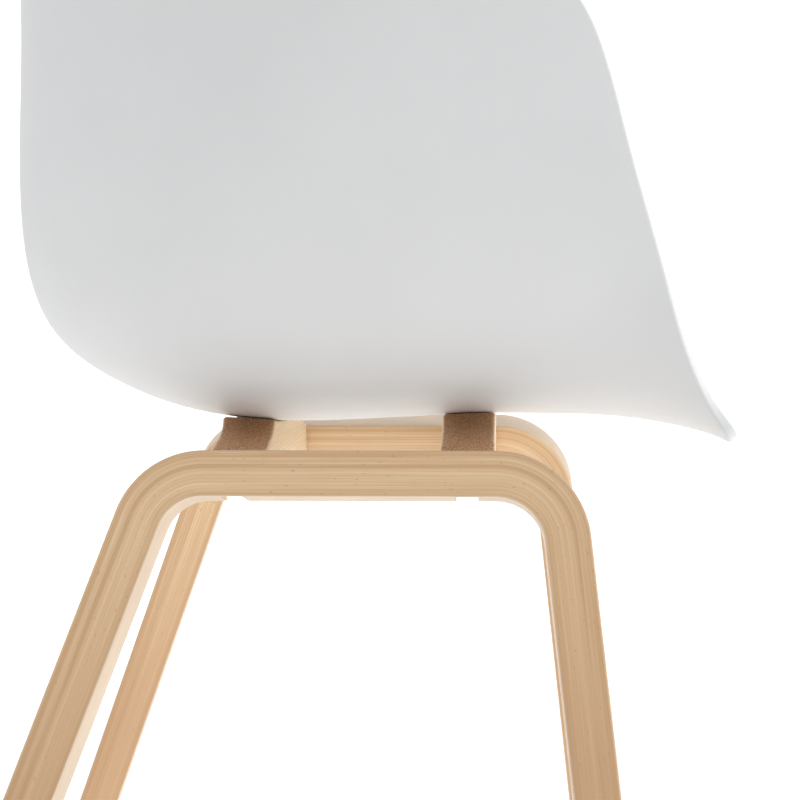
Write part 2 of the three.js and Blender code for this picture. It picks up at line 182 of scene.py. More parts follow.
def turned_mesh(name, profile, segments=48, x=0.0, y=0.0, z=0.0, place=None):
    """A lathe solid about an upright axis. The (radius, height) profile starts and ends on it,
    or closes on itself as a ring."""
    ring = profile[0][0] > 0
    verts, rings, faces = [], [], []
    for radius, height in profile:
        if radius == 0:
            rings.append([len(verts)])
            verts.append((0, 0, height))
            continue
        rings.append(list(range(len(verts), len(verts) + segments)))
        for k in range(segments):
            a = 2 * math.pi * k / segments
            verts.append((radius * math.cos(a), radius * math.sin(a), height))
    pairs = list(zip(rings, rings[1:]))
    if ring:
        pairs.append((rings[-1], rings[0]))
    for low, high in pairs:
        for k in range(segments):
            a, b = low[k % len(low)], low[(k + 1) % len(low)]
            c, d = high[(k + 1) % len(high)], high[k % len(high)]
            faces.append([i for n, i in enumerate((a, b, c, d)) if i not in (a, b, c, d)[:n]])
    verts = [(px + x, py + y, pz + z) for px, py, pz in verts]
    if place:
        verts = [place(v) for v in verts]
    return mesh_from(name, verts, faces)


def pillar(radius, low, high, x=0.0, y=0.0, segments=48, place=None):
    profile = [(0, low), (radius, low), (radius, high), (0, high)]
    return turned_mesh("pillar", profile, segments, x, y, 0, place)


def rounded(corners, radii, steps=4):
    """A closed outline with its corners rounded."""
    points = []
    count = len(corners)
    for i, (corner, radius) in enumerate(zip(corners, radii)):
        here = Vector(corner)
        before = Vector(corners[i - 1]) - here
        after = Vector(corners[(i + 1) % count]) - here
        half = before.angle(after) / 2
        reach = min(radius / math.tan(half), before.length * 0.45, after.length * 0.45)
        start = here + before.normalized() * reach
        end = here + after.normalized() * reach
        for k in range(steps + 1):
            t = k / steps
            points.append(start * (1 - t) ** 2 + here * 2 * t * (1 - t) + end * t * t)
    return points


# ------------------------------------------------------------------ procedural materials
class Nodes:
    """Short ways to add and join a material's nodes."""

    def __init__(self, name):
        self.material = bpy.data.materials.new(name)
        self.material.use_nodes = True
        self.tree = self.material.node_tree
        self.shader = self.tree.nodes["Principled BSDF"]

    def add(self, kind, settings=None, **inputs):
        node = self.tree.nodes.new("ShaderNode" + kind)
        for key, value in (settings or {}).items():
            setattr(node, key, value)
        for key, value in inputs.items():
            self.set(node.inputs[int(key[1:])] if key[1:].isdigit() else node.inputs[key], value)
        return node

    def set(self, socket, value):
        if isinstance(value, bpy.types.NodeSocket):
            self.tree.links.new(value, socket)
        else:
            socket.default_value = value

    def math(self, operation, a, b=0.0, clamp=False):
        settings = {"operation": operation, "use_clamp": clamp}
        return self.add("Math", settings, _0=a, _1=b).outputs[0]

    def stretch(self, vector, scale, offset=(0, 0, 0)):
        return self.add("Mapping", None, Vector=vector, Scale=scale, Location=offset).outputs[0]

    def noise(self, vector, scale=1.0, detail=3.0, roughness=0.5, distortion=0.0):
        node = self.add("TexNoise", None, Vector=vector, Scale=scale, Detail=detail,
                        Roughness=roughness, Distortion=distortion)
        return node.outputs["Fac"]

    def spread(self, value, low, high, to_low=0.0, to_high=1.0):
        node = self.add("MapRange", {"clamp": True}, Value=value)
        ends = {"From Min": low, "From Max": high, "To Min": to_low, "To Max": to_high}
        for key, number in ends.items():
            self.set(node.inputs[key], number)
        return node.outputs[0]

    def mix(self, factor, a, b, blend="MIX"):
        node = self.add("Mix", {"data_type": "RGBA", "blend_type": blend}, _0=factor, _6=a, _7=b)
        return node.outputs[2]

    def ramp(self, value, stops):
        node = self.add("ValToRGB", None, _0=value)
        elements = node.color_ramp.elements
        while len(elements) < len(stops):
            elements.new(0.5)
        for element, (place, colour) in zip(elements, stops):
            element.position = place
            element.color = colour
        return node.outputs[0]

    def bump(self, height, strength, distance):
        node = self.add("Bump", None, Height=height, Strength=strength, Distance=distance)
        self.set(self.shader.inputs["Normal"], node.outputs[0])

    def finish(self, **inputs):
        for key, value in inputs.items():
            self.set(self.shader.inputs[key.replace("_", " ")], value)
        return self.material


def srgb(red, green, blue):
    """Linear colour of an 8-bit screen colour."""
    def channel(c):
        c /= 255
        return c / 12.92 if c <= 0.04045 else ((c + 0.055) / 1.055) ** 2.4
    return (channel(red), channel(green), channel(blue), 1.0)


def metres(lengths):
    return [length * MM for length in lengths]


def wood_finish(n, colour, fibres, relief):
    """Thin matt lacquer over the wood: the relief shows through it."""
    n.bump(relief, 0.35, 0.00025)
    rough = n.spread(fibres, 0.3, 0.7, 0.46, 0.6)
    return n.finish(Base_Color=colour, Roughness=rough, Coat_Weight=0.06, Coat_Roughness=0.35)


def ply_tones(n, strip, depth):
    """Colour of each ply by its own tone, and how far a point is from the ply's middle."""
    wander = n.noise(n.stretch(strip, (9, 20, 40)), 1.0, 2.0)
    wavy = n.math("ADD", depth, n.math("MULTIPLY", n.math("SUBTRACT", wander, 0.5), 0.0009))
    plies = n.math("MULTIPLY", wavy, 1 / (PLY * MM))
    tone = n.add("TexWhiteNoise", {"noise_dimensions": "1D"}, W=n.math("FLOOR", plies)).outputs["Value"]
    drift = n.noise(n.stretch(strip, (2.2, 0, 0)), 1.0, 2.0)
    tone = n.math("ADD", n.math("MULTIPLY", tone, 0.72), n.math("MULTIPLY", drift, 0.28))
    # broad tones through the thickness: darker outer plies, lighter ones past the middle
    broad = n.ramp(n.math("MULTIPLY", depth, 1 / (STRIP_THICK * MM)), [
        (0.0, srgb(216, 178, 137)), (0.38, srgb(218, 180, 139)), (0.44, srgb(238, 205, 166)),
        (0.8, srgb(237, 203, 164)), (0.86, srgb(224, 188, 148)),
    ])
    ply_colour = n.ramp(tone, [
        (0.0, srgb(196, 156, 113)), (0.35, srgb(221, 183, 140)), (0.7, srgb(236, 204, 163)),
        (1.0, srgb(250, 222, 182)),
    ])
    edge = n.math("ABSOLUTE", n.math("SUBTRACT", n.math("FRACT", plies), 0.5))
    return n.mix(0.52, broad, ply_colour), edge


def laminate_material():
    """Bent veneers: each ply has its own tone, thin glue lines run between them, and the grain
    follows the bend. Read from the strip's own coordinates: along, across, depth."""
    n = Nodes("laminated_beech")
    strip = n.add("Attribute", {"attribute_name": "strip"}).outputs["Vector"]
    axes = n.add("SeparateXYZ", None, Vector=strip)
    along, depth = axes.outputs[0], axes.outputs[2]
    colour, edge = ply_tones(n, strip, depth)
    fibres = n.noise(n.stretch(strip, (14, 900, 2600)), 1.0, 4.0, 0.62)
    colour = n.mix(n.spread(fibres, 0.34, 0.7, 0.0, 0.55), colour, srgb(205, 167, 125))
    streaks = n.noise(n.stretch(strip, (5, 160, 420)), 1.0, 3.0, 0.55, 0.3)
    colour = n.mix(n.spread(streaks, 0.5, 0.72, 0.0, 0.45), colour, srgb(250, 229, 190))
    glue = n.spread(edge, 0.44, 0.5, 0.0, 0.5)
    colour = n.mix(glue, colour, srgb(176, 135, 96))
    # short dark pores and rays lying along the grain
    pore_cells = n.noise(n.stretch(strip, (230, 900, 1000)), 1.0, 1.0, 0.4)
    pores = n.spread(pore_cells, 0.70, 0.75, 0.0, 0.55)
    colour = n.mix(pores, colour, srgb(165, 114, 82))
    # the colour turns darker from the rail down the legs
    legs = n.spread(n.math("ABSOLUTE", along), *metres(LEG_TONE), 0.0, 0.6)
    colour = n.mix(legs, colour, srgb(188, 146, 106))
    # the two face veneers are a paler, greyer wood
    half = STRIP_THICK / 2
    middle = n.math("ABSOLUTE", n.math("SUBTRACT", depth, half * MM))
    fade = [(half - FACE_VENEER[side]) * MM for side in ("inside", "outside")]
    face = n.spread(middle, *fade, 0.0, 0.7)
    pale = n.mix(n.spread(fibres, 0.3, 0.7), srgb(222, 206, 186), srgb(206, 187, 163))
    colour = n.mix(face, colour, pale)
    relief = n.math("SUBTRACT", n.math("MULTIPLY", fibres, 0.5), n.math("ADD", glue, pores))
    return wood_finish(n, colour, fibres, relief)


def growth_rings(n, place):
    """Late wood of the growth rings, round an axis along X below and between the beams."""
    wander = n.noise(n.stretch(place, (3, 12, 12)), 1.0, 2.0)
    bent = n.add("VectorMath", {"operation": "ADD"}, _0=place).outputs[0]
    shift = n.add("CombineXYZ", None, Y=n.math("MULTIPLY", wander, 0.012), Z=0.0)
    n.set(bent.node.inputs[1], shift.outputs[0])
    axes = n.add("SeparateXYZ", None, Vector=n.stretch(bent, (1, 1, 1), (0, 0.03, -0.30)))
    radius = n.math("SQRT", n.math("ADD", n.math("POWER", axes.outputs[1], 2.0),
                                   n.math("POWER", axes.outputs[2], 2.0)))
    rings = n.math("FRACT", n.math("MULTIPLY", radius, 420.0))
    return n.spread(rings, 0.55, 1.0)


def beam_end_grain(n, place):
    """How much a point belongs to the cut ends past the shell, and the ends' colour with painted
    contact shade at their tops.
    """
    normal = n.add("SeparateXYZ", None, Vector=n.add("NewGeometry").outputs["True Normal"])
    axes = n.add("SeparateXYZ", None, Vector=place)
    past = n.math("ABSOLUTE", axes.outputs[0])
    end = n.math("MULTIPLY", n.spread(past, *metres(END_GRAIN)),
                 n.spread(n.math("ABSOLUTE", normal.outputs[1]), 0.9, 0.6))
    end = n.math("MULTIPLY", end, n.spread(normal.outputs[2], -0.7, -0.3))
    specks = n.noise(n.stretch(place, (420, 1100, 1100)), 1.0, 3.0, 0.65)
    colour = n.mix(n.spread(specks, 0.36, 0.62), srgb(164, 98, 52), srgb(238, 186, 134))
    # painted contact shade: the ends darken towards their tops under the shell
    painted_shade_top = n.spread(axes.outputs[2], *metres(END_PAINTED_SHADE), 0.0, 0.5)
    return end, n.mix(painted_shade_top, colour, srgb(88, 50, 26))


def beam_material():
    """Solid beech with its grain along X: growth rings on the sides, dark end grain with painted
    contact shade at its top.
    """
    n = Nodes("solid_beech")
    place = n.add("TexCoord").outputs["Object"]
    late = growth_rings(n, place)
    fibres = n.noise(n.stretch(place, (10, 700, 700)), 1.0, 4.0, 0.6)
    colour = n.mix(n.spread(late, 0.0, 1.0, 0.0, 0.4), srgb(243, 220, 183), srgb(215, 181, 138))
    colour = n.mix(n.spread(fibres, 0.35, 0.7, 0.0, 0.5), colour, srgb(219, 187, 145))
    end, end_colour = beam_end_grain(n, place)
    colour = n.mix(n.math("MULTIPLY", end, 0.9), colour, end_colour)
    flecks = n.noise(n.stretch(place, (200, 2200, 900)), 1.0, 1.0, 0.4)
    fleck = n.spread(flecks, 0.69, 0.75, 0.0, 0.55)
    colour = n.mix(fleck, colour, srgb(163, 121, 85))
    relief = n.math("SUBTRACT", n.math("MULTIPLY", fibres, 0.6), fleck)
    return wood_finish(n, colour, fibres, relief)


def shell_material():
    """Moulded polypropylene with a fine spark texture and faint flow clouding."""
    n = Nodes("white_polypropylene")
    place = n.add("TexCoord").outputs["Object"]
    spark = n.noise(place, 1500.0, 2.0, 0.6)
    cloud = n.noise(place, 9.0, 3.0, 0.5)
    scuff = n.noise(n.stretch(place, (60, 60, 90)), 1.0, 4.0, 0.7, 0.4)
    colour = n.mix(n.spread(cloud, 0.3, 0.7, 0.0, 1.0), srgb(223, 224, 225), srgb(219, 220, 221))
    n.bump(n.math("ADD", spark, n.math("MULTIPLY", scuff, 0.15)), 0.22, 0.00012)
    dull = n.spread(scuff, 0.62, 0.8, 0.0, 0.06)
    rough = n.math("ADD", n.spread(spark, 0.3, 0.7, 0.5, 0.62), dull)
    return n.finish(Base_Color=colour, Roughness=rough, IOR=1.49, Specular_IOR_Level=0.42,
                    Subsurface_Weight=0.03, Subsurface_Radius=(0.004, 0.004, 0.004))


def metal_material(name, light, dark, rough_low, rough_high, grain=420.0):
    """Turned or plated metal: a fine even grain and a patchy bright finish."""
    n = Nodes(name)
    place = n.add("TexCoord").outputs["Object"]
    patch = n.noise(place, grain, 3.0, 0.6)
    fine = n.noise(place, grain * 9, 2.0, 0.5)
    colour = n.mix(n.spread(patch, 0.35, 0.7), light, dark)
    n.bump(n.math("ADD", fine, n.math("MULTIPLY", patch, 0.4)), 0.12, 0.00008)
    rough = n.spread(patch, 0.3, 0.75, rough_low, rough_high)
    return n.finish(Base_Color=colour, Roughness=rough, Metallic=1.0)


def glide_material():
    """Matt nylon, dulled and scratched where it slides."""
    n = Nodes("nylon_glide")
    place = n.add("TexCoord").outputs["Object"]
    height = n.add("SeparateXYZ", None, Vector=place).outputs[2]
    scratch = n.noise(n.stretch(place, (1600, 90, 300)), 1.0, 3.0, 0.6)
    worn = n.math("MULTIPLY", n.spread(scratch, 0.5, 0.7), n.spread(height, *metres(GLIDE_WEAR)))
    cloud = n.noise(place, 240.0, 3.0, 0.5)
    colour = n.mix(n.spread(cloud, 0.3, 0.7), srgb(224, 221, 214), srgb(212, 208, 200))
    colour = n.mix(n.math("MULTIPLY", worn, 0.6), colour, srgb(168, 162, 152))
    n.bump(n.math("SUBTRACT", n.math("MULTIPLY", cloud, 0.3), worn), 0.3, 0.0001)
    rough = n.spread(scratch, 0.3, 0.7, 0.5, 0.72)
    return n.finish(Base_Color=colour, Roughness=rough)


laminate = laminate_material()
beam_wood = beam_material()
shell_plastic = shell_material()
steel = metal_material("zinc_steel", srgb(196, 198, 202), srgb(168, 171, 176), 0.26, 0.42)
brass = metal_material("turned_brass", srgb(206, 174, 112), srgb(178, 144, 84), 0.25, 0.4)
nylon = glide_material()


# ------------------------------------------------------------------ side frames
def bend_centre(leg, towards_middle):
    return leg["corner"] + towards_middle * leg["bend"] * math.tan((math.pi / 2 - leg["rake"]) / 2)


REAR_CENTRE = bend_centre(REAR_LEG, -1)
FRONT_CENTRE = bend_centre(FRONT_LEG, 1)


def frame_place(point):
    """From the frame's axes (y, height in the leaning plane, inwards) to the right side."""
    y, v, w = point
    x = -RAIL_HALF_SPAN + v * math.sin(SPLAY) + w * math.cos(SPLAY)
    z = RAIL_HEIGHT + v * math.cos(SPLAY) - w * math.sin(SPLAY)
    return (x, y, z)


def frame_unplace(x, y, z):
    """Back to the frame's axes from either side."""
    dx, dz = -abs(x) + RAIL_HALF_SPAN, z - RAIL_HEIGHT
    v = dx * math.sin(SPLAY) + dz * math.cos(SPLAY)
    w = dx * math.cos(SPLAY) - dz * math.sin(SPLAY)
    return y, v, w


def leg_reach(leg):
    """Length of the leg's straight part along the strip's outer line."""
    rise = (RAIL_HEIGHT - FOOT_HEIGHT) / math.cos(SPLAY)
    return (rise - leg["bend"] * (1 - math.sin(leg["rake"]))) / math.cos(leg["rake"])


def strip_stations():
    """Places along the strip: the point of its outer line and the direction outwards, from the
    rear foot over the rail to the front foot."""
    stations = []
    legs = ((REAR_LEG, REAR_CENTRE, 1), (FRONT_LEG, FRONT_CENTRE, -1))
    for leg, centre, side in legs:
        out = Vector((side * math.cos(leg["rake"]), math.sin(leg["rake"])))
        down = Vector((side * math.sin(leg["rake"]), -math.cos(leg["rake"])))
        top = Vector((centre, -leg["bend"])) + out * leg["bend"]
        reach = leg_reach(leg)
        straight = [(top + down * (reach * k / LEG_RINGS), out) for k in range(LEG_RINGS, 0, -1)]
        arc = []
        for k in range(BEND_RINGS + 1):
            angle = leg["rake"] + (math.pi / 2 - leg["rake"]) * k / BEND_RINGS
            out = Vector((side * math.cos(angle), math.sin(angle)))
            arc.append((Vector((centre, -leg["bend"])) + out * leg["bend"], out))
        part = straight + arc
        stations += part if side == 1 else part[::-1]
    return stations


def strip_section():
    """Section points as (depth from the outer face, distance inwards across the strip)."""
    box = [(0, 0), (0, STRIP_WIDTH), (STRIP_THICK, STRIP_WIDTH), (STRIP_THICK, 0)]
    radii = [OUTER_ROUND, OUTER_ROUND, INNER_ROUND, INNER_ROUND]
    return [(p.x, p.y) for p in rounded(box, radii, 5)]


def strip_coordinates(y, v):
    """Arc length along the outer line, and depth through the laminations, at a frame point."""
    for leg, centre, side in ((REAR_LEG, REAR_CENTRE, 1), (FRONT_LEG, FRONT_CENTRE, -1)):
        dy, dv = side * (y - centre), v + leg["bend"]
        sweep = math.pi / 2 - leg["rake"]
        angle = math.atan2(dv, dy)
        if dy > 0 and angle < leg["rake"]:
            down = Vector((math.sin(leg["rake"]), -math.cos(leg["rake"])))
            out = Vector((math.cos(leg["rake"]), math.sin(leg["rake"])))
            here = Vector((dy, dv))
            along = side * (abs(centre) + leg["bend"] * sweep + here.dot(down))
            return along, leg["bend"] - here.dot(out)
        if dy > 0 and dv > 0 and angle <= math.pi / 2:
            along = side * (abs(centre) + leg["bend"] * (math.pi / 2 - angle))
            return along, leg["bend"] - math.hypot(dy, dv)
    return y, -v


def mark_strip(mesh):
    """Stores each point's place in the strip for the wood's grain."""
    layer = mesh.attributes.new("strip", "FLOAT_VECTOR", "POINT")
    for vertex, value in zip(mesh.vertices, layer.data):
        x, y, z = (c / MM for c in vertex.co)
        fy, v, w = frame_unplace(x, y, z)
        along, depth = strip_coordinates(fy, v)
        value.vector = (along * MM, w * MM, depth * MM)


def strip_mesh(name):
    """The bent strip of the right side, its legs cut off level above the glides."""
    section = strip_section()
    count = len(section)
    verts, faces = [], []
    stations = strip_stations()
    last = len(stations) - 1
    for i, (outer, out) in enumerate(stations):
        for depth, across in section:
            point = outer - out * depth
            placed = Vector(frame_place((point.x, point.y, across)))
            if i in (0, last):
                neighbour, _ = stations[1 if i == 0 else last - 1]
                step = outer - neighbour
                run = Vector(frame_place((step.x, step.y, 0))) - Vector(frame_place((0, 0, 0)))
                placed += run * ((FOOT_HEIGHT - placed.z) / run.z)
            verts.append(tuple(placed))
    for i in range(last):
        for k in range(count):
            a, b = i * count + k, i * count + (k + 1) % count
            faces.append((a, b, b + count, a + count))
    faces.append(tuple(range(count)))
    faces.append(tuple(last * count + k for k in range(count)))
    return mesh_from(name, verts, faces)


def side_frame(name, node, flip):
    mesh = strip_mesh(name)
    soften_feet(mesh)
    low, high = STRIP_WIDTH - SLOT["depth"], STRIP_WIDTH + JOIN
    slots = [frame_block(y, SLOT["width"], SLOT["top"], STRIP_THICK + JOIN, low, high)
             for y in BEAM_Y.values()]
    mesh = boolean(mesh, slots, "DIFFERENCE")
    if flip:
        mirror_x(mesh)
    mark_strip(mesh)
    piece = make_object(name, mesh, laminate)
    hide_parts(node)


def soften_feet(mesh):
    """A small chamfer round the sawn end of each leg."""
    bm = bmesh.new()
    bm.from_mesh(mesh)
    ends = [f for f in bm.faces if len(f.verts) > 4]
    edges = list({e for f in ends for e in f.edges})
    bmesh.ops.bevel(bm, geom=edges, offset=FOOT_CHAMFER * MM, segments=2, affect="EDGES", profile=0.6)
    bm.to_mesh(mesh)
    bm.free()


def frame_block(y, width, top, bottom, near, far):
    """A box in the frame's axes."""
    verts = []
    for w in (near, far):
        for v in (-bottom, -top):
            for dy in (-width / 2, width / 2):
                verts.append(frame_place((y + dy, v, w)))
    faces = [(0, 1, 3, 2), (4, 6, 7, 5), (0, 4, 5, 1), (2, 3, 7, 6), (0, 2, 6, 4), (1, 5, 7, 3)]
    return mesh_from("block", verts, faces)


def mirror_x(mesh):
    """Turns the right-hand shape into the left-hand one."""
    mesh.transform(Matrix.Scale(-1, 4, Vector((1, 0, 0))))
    mesh.flip_normals()


side_frame("right_frame_bent_wood", "right_side_frame", False)
side_frame("left_frame_bent_wood", "left_side_frame", True)


# ------------------------------------------------------------------ seat shell
def natural_spline(values):
    """Natural cubic spline through equally spaced rows of values."""
    values = np.array(values, float)
    count = len(values)
    system = np.eye(count)
    curve = np.zeros_like(values)
    for i in range(1, count - 1):
        system[i, i - 1:i + 2] = (1, 4, 1)
        curve[i] = 6 * (values[i + 1] - 2 * values[i] + values[i - 1])
    bend = np.linalg.solve(system, curve)

    def at(u):
        i = np.clip(np.floor(u).astype(int), 0, count - 2)
        b = (u - i)[..., None]
        a = 1 - b
        curved = (a ** 3 - a) * bend[i] + (b ** 3 - b) * bend[i + 1]
        return a * values[i] + b * values[i + 1] + curved / 6
    return at


station_spline = natural_spline([[*m, *r, f, *w] for m, r, f, w in STATIONS])


def shell_point(s, t):
    """Outer surface: s from -1 to 1 across, t from 0 at the lip to 1 at the top of the back."""
    values = station_spline(t * (len(STATIONS) - 1))
    my, mz, rx, ry, rz, flat, wall_out, wall_up = np.moveaxis(values, -1, 0)
    a = np.abs(s)
    near, far, end = 3 * a * (1 - a) ** 2, 3 * a * a * (1 - a), a ** 3
    out = rx * (near * flat + far * wall_out + end)
    rise = far * wall_up + end
    return np.stack([np.sign(s) * out, my + rise * (ry - my), mz + rise * (rz - mz)], -1)


def unit(vectors):
    return vectors / np.linalg.norm(vectors, axis=-1, keepdims=True)


def shell_slopes(s, t):
    """How fast the surface runs with s and with t."""
    h = SLOPE_STEP
    across = (shell_point(s + h, t) - shell_point(s - h, t)) / (2 * h)
    along = (shell_point(s, t + h) - shell_point(s, t - h)) / (2 * h)
    return across, along


def shell_normal(s, t):
    """Unit normal towards the sitter."""
    return unit(np.cross(*shell_slopes(s, t)))


def shell_rows():
    """How far along each row is, and the share of the width inside the rounded outline."""
    rows = []

    def corner(size, part):
        angle = math.pi / 2 * part
        return size["t"] * (1 - math.cos(angle)), 1 - size["s"] * (1 - math.sin(angle)), angle
    for i in range(SHELL_ROWS["front"]):
        rows.append((0, *corner(FRONT_CORNER, i / SHELL_ROWS["front"])))
    for t in np.linspace(FRONT_CORNER["t"], 1 - REAR_CORNER["t"], SHELL_ROWS["middle"] + 1):
        rows.append((0, t, 1.0, math.pi / 2))
    for i in range(SHELL_ROWS["rear"] - 1, -1, -1):
        rows.append((1, *corner(REAR_CORNER, i / SHELL_ROWS["rear"])))
    return [set_back(*row) for row in rows]


def set_back(from_rear, t, share, angle):
    """Draws a row in from the outline by the rounding of the rim's edges."""
    here = 1 - t if from_rear else t
    _, along = shell_slopes(0.5, here)
    across, _ = shell_slopes(share, here)
    t += EDGE_ROUND / np.linalg.norm(along) * math.cos(angle)
    share -= EDGE_ROUND / np.linalg.norm(across) * math.sin(angle)
    return (1 - t if from_rear else t), share


def border(rows, columns):
    """Indices of the surface's edge, once round."""
    last = (rows - 1) * columns
    front = list(range(columns))
    left = [r * columns + columns - 1 for r in range(1, rows)]
    top = [last + c for c in range(columns - 2, -1, -1)]
    right = [r * columns for r in range(rows - 2, 0, -1)]
    return front + left + top + right


def skin_faces(rows, columns):
    """Faces of the outer surface and, one layer of vertices on, of the inner one."""
    layer = rows * columns
    faces = []
    for r in range(rows - 1):
        for c in range(columns - 1):
            a = r * columns + c
            faces.append((a, a + columns, a + columns + 1, a + 1))
            faces.append((layer + a, layer + a + 1, layer + a + columns + 1, layer + a + columns))
    return faces


def rim(outer, normal, loop):
    """Rows of points round the rim: rounded over at both faces, square between."""
    here = outer[loop]
    tangent = unit(np.roll(here, -1, 0) - np.roll(here, 1, 0))
    away = unit(np.cross(tangent, normal[loop]))
    turns = [math.pi / 2 * k / ROUND_STEPS for k in range(1, ROUND_STEPS + 1)]
    profile = [(EDGE_ROUND * math.sin(a), EDGE_ROUND * (1 - math.cos(a))) for a in turns]
    profile += [(out, WALL - up) for out, up in profile[::-1]]
    return [here + away * out + normal[loop] * up for out, up in profile]


def shell_mesh():
    rows = np.array(shell_rows())
    columns = SHELL_ACROSS + 1
    t, share = rows[:, :1], rows[:, 1:]
    s = share * np.linspace(-1, 1, columns)[None, :]
    t = t + 0 * s
    outer = shell_point(s, t).reshape(-1, 3)
    normal = shell_normal(s, t).reshape(-1, 3)
    layer = len(outer)
    faces = skin_faces(len(rows), columns)
    loop = border(len(rows), columns)
    verts = [outer, outer + normal * WALL]
    rings = [loop]
    for points in rim(outer, normal, loop):
        start = sum(len(v) for v in verts)
        verts.append(points)
        rings.append(list(range(start, start + len(loop))))
    rings.append([layer + i for i in loop])
    for low, high in zip(rings, rings[1:]):
        for k in range(len(loop)):
            j = (k + 1) % len(loop)
            faces.append((low[k], low[j], high[j], high[k]))
    return mesh_from("shell", np.concatenate(verts).tolist(), faces)


def shell_underside(x, y):
    """Height of the outer surface at a place under the seat."""
    s, t = np.meshgrid(np.linspace(0, 0.6, 121), np.linspace(0.1, 0.75, 326))
    points = shell_point(s, t)
    miss = np.hypot(points[..., 0] - abs(x), points[..., 1] - y)
    return float(points[..., 2].flat[miss.argmin()])


MOUNTINGS = [
    (f"{place}_{side}", sign * SEAT_SCREW_X, y, shell_underside(SEAT_SCREW_X, y) - BOSS["drop"])
    for place, y in BEAM_Y.items() for side, sign in (("right", -1), ("left", 1))
]


def seat_shell():
    mesh = shell_mesh()
    bosses, sockets = [], []
    for _, x, y, end in MOUNTINGS:
        bosses.append(pillar(BOSS["radius"], end, end + BOSS["drop"] + WALL / 2, x, y))
        socket_end = end + INSERT["length"] + 2 * GAP
        sockets.append(pillar(INSERT["radius"] + GAP, end - JOIN, socket_end, x, y))
    mesh = boolean(mesh, bosses, "UNION")
    mesh = boolean(mesh, sockets, "DIFFERENCE")
    piece = make_object("moulded_seat_shell", mesh, shell_plastic, 42)
    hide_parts("seat_shell")


seat_shell()


# ------------------------------------------------------------------ beams
def rail_inner_face(z):
    """How far the leaning rail's inner face is from the middle plane at a height."""
    top_edge = RAIL_HEIGHT - STRIP_WIDTH * math.sin(SPLAY)
    return RAIL_HALF_SPAN - STRIP_WIDTH * math.cos(SPLAY) + (top_edge - z) * math.tan(SPLAY)


def beam_outline(cradle):
    """Front view of a beam: slanting ends, scooped shoulders, a hollowed top for the shell."""
    def above(place):
        return Vector((place[0], cradle + place[1]))
    corner = cradle + BEAM_END["corner"]
    half = [(rail_inner_face(z) - GAP, z) for z in (BEAM_BOTTOM, corner)]
    half.append(tuple(above(BEAM_END["step"])))
    start, low, high = (above(p) for p in (BEAM_END["ledge"], *SHOULDER_PULL.values()))
    end = Vector((CRADLE_HALF, cradle + CRADLE_HALF ** 2 / CRADLE_SAG))
    for k in range(SHOULDER_STEPS + 1):
        t = k / SHOULDER_STEPS
        p = (start * (1 - t) ** 3 + low * 3 * t * (1 - t) ** 2
             + high * 3 * t * t * (1 - t) + end * t ** 3)
        half.append((p.x, p.y))
    for k in range(CRADLE_STEPS - 1, -1, -1):
        x = CRADLE_HALF * k / CRADLE_STEPS
        half.append((x, cradle + x * x / CRADLE_SAG))
    return half + [(-x, z) for x, z in half[-2::-1]]


def beam_body(name, y, cradle, tilt):
    """The outline carried through the beam's width, drawn in at both faces to round its edges."""
    outline = np.array(beam_outline(cradle))
    along = unit(np.roll(outline, -1, 0) - np.roll(outline, 1, 0))
    inwards = np.stack([-along[:, 1], along[:, 0]], -1)
    turns = [math.pi / 2 * k / 5 for k in range(6)]
    rings = [(-1, BEAM_ROUND * (1 - math.cos(a)), BEAM_ROUND * (1 - math.sin(a))) for a in turns]
    rings += [(1, back, inset) for _, back, inset in rings[::-1]]
    verts = []
    for side, back, inset in rings:
        depth = side * (BEAM_WIDTH / 2 - back)
        for x, z in outline + inwards * inset:
            verts.append((x, y + depth, z + tilt * depth * (z > BEAM_SQUARE)))
    count, last = len(outline), len(rings) - 1
    faces = [tuple(range(count)), tuple(last * count + k for k in range(count))]
    for ring in range(last):
        for k in range(count):
            a, b = ring * count + k, ring * count + (k + 1) % count
            faces.append((a, b, b + count, a + count))
    return mesh_from(name, verts, faces)


def tongue_tools(y):
    """The tongue that goes into a rail's slot, and the two cutters of its screw hole."""
    inside = STRIP_WIDTH + GAP + JOIN
    bottom, top = TONGUE["bottom"], TONGUE["top"]
    tongue = frame_block(y, TONGUE["width"], top, bottom, TONGUE["end"], inside)
    bore = frame_hole(y, FRAME_SCREW["shank"] + GAP, bottom + JOIN, top - JOIN)
    sink_top = bottom - FRAME_SCREW["head_height"] - GAP
    sink = frame_hole(y, FRAME_SCREW["head"] + GAP, bottom + JOIN, sink_top)
    return tongue, bore, sink


def seat_screw_cutters(x, y, cradle):
    """Screw hole, counterbore and the pocket for the shell's boss."""
    top = cradle + SEAT_SCREW_X ** 2 / CRADLE_SAG
    boss_floor = shell_underside(x, y) - BOSS["drop"] - GAP
    seat = BEAM_BOTTOM + COUNTERBORE["depth"]
    return [
        pillar(SEAT_SCREW["shank"] + GAP, BEAM_BOTTOM - JOIN, top + JOIN, x, y),
        pillar(COUNTERBORE["radius"], BEAM_BOTTOM - JOIN, seat, x, y),
        pillar(BOSS["radius"] + GAP, boss_floor, top + 5, x, y),
    ]


def beam(name, node, y, cradle, tilt):
    mesh = beam_body(name, y, cradle, tilt)
    for flip in (False, True):
        tongue, bore, sink = tongue_tools(y)
        if flip:
            for tool in (tongue, bore, sink):
                mirror_x(tool)
        mesh = boolean(mesh, [tongue], "UNION")
        mesh = boolean(mesh, [bore, sink], "DIFFERENCE")
    for x in (-SEAT_SCREW_X, SEAT_SCREW_X):
        mesh = boolean(mesh, seat_screw_cutters(x, y, cradle), "DIFFERENCE")
    piece = make_object(name, mesh, beam_wood)
    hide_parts(node)


SCREW_DEPTH = (TONGUE["end"] + STRIP_WIDTH) / 2


def on_frame_screw(y):
    """Places an upright turned shape on a frame screw's axis."""
    return lambda point: frame_place((y + point[0], point[2], SCREW_DEPTH + point[1]))


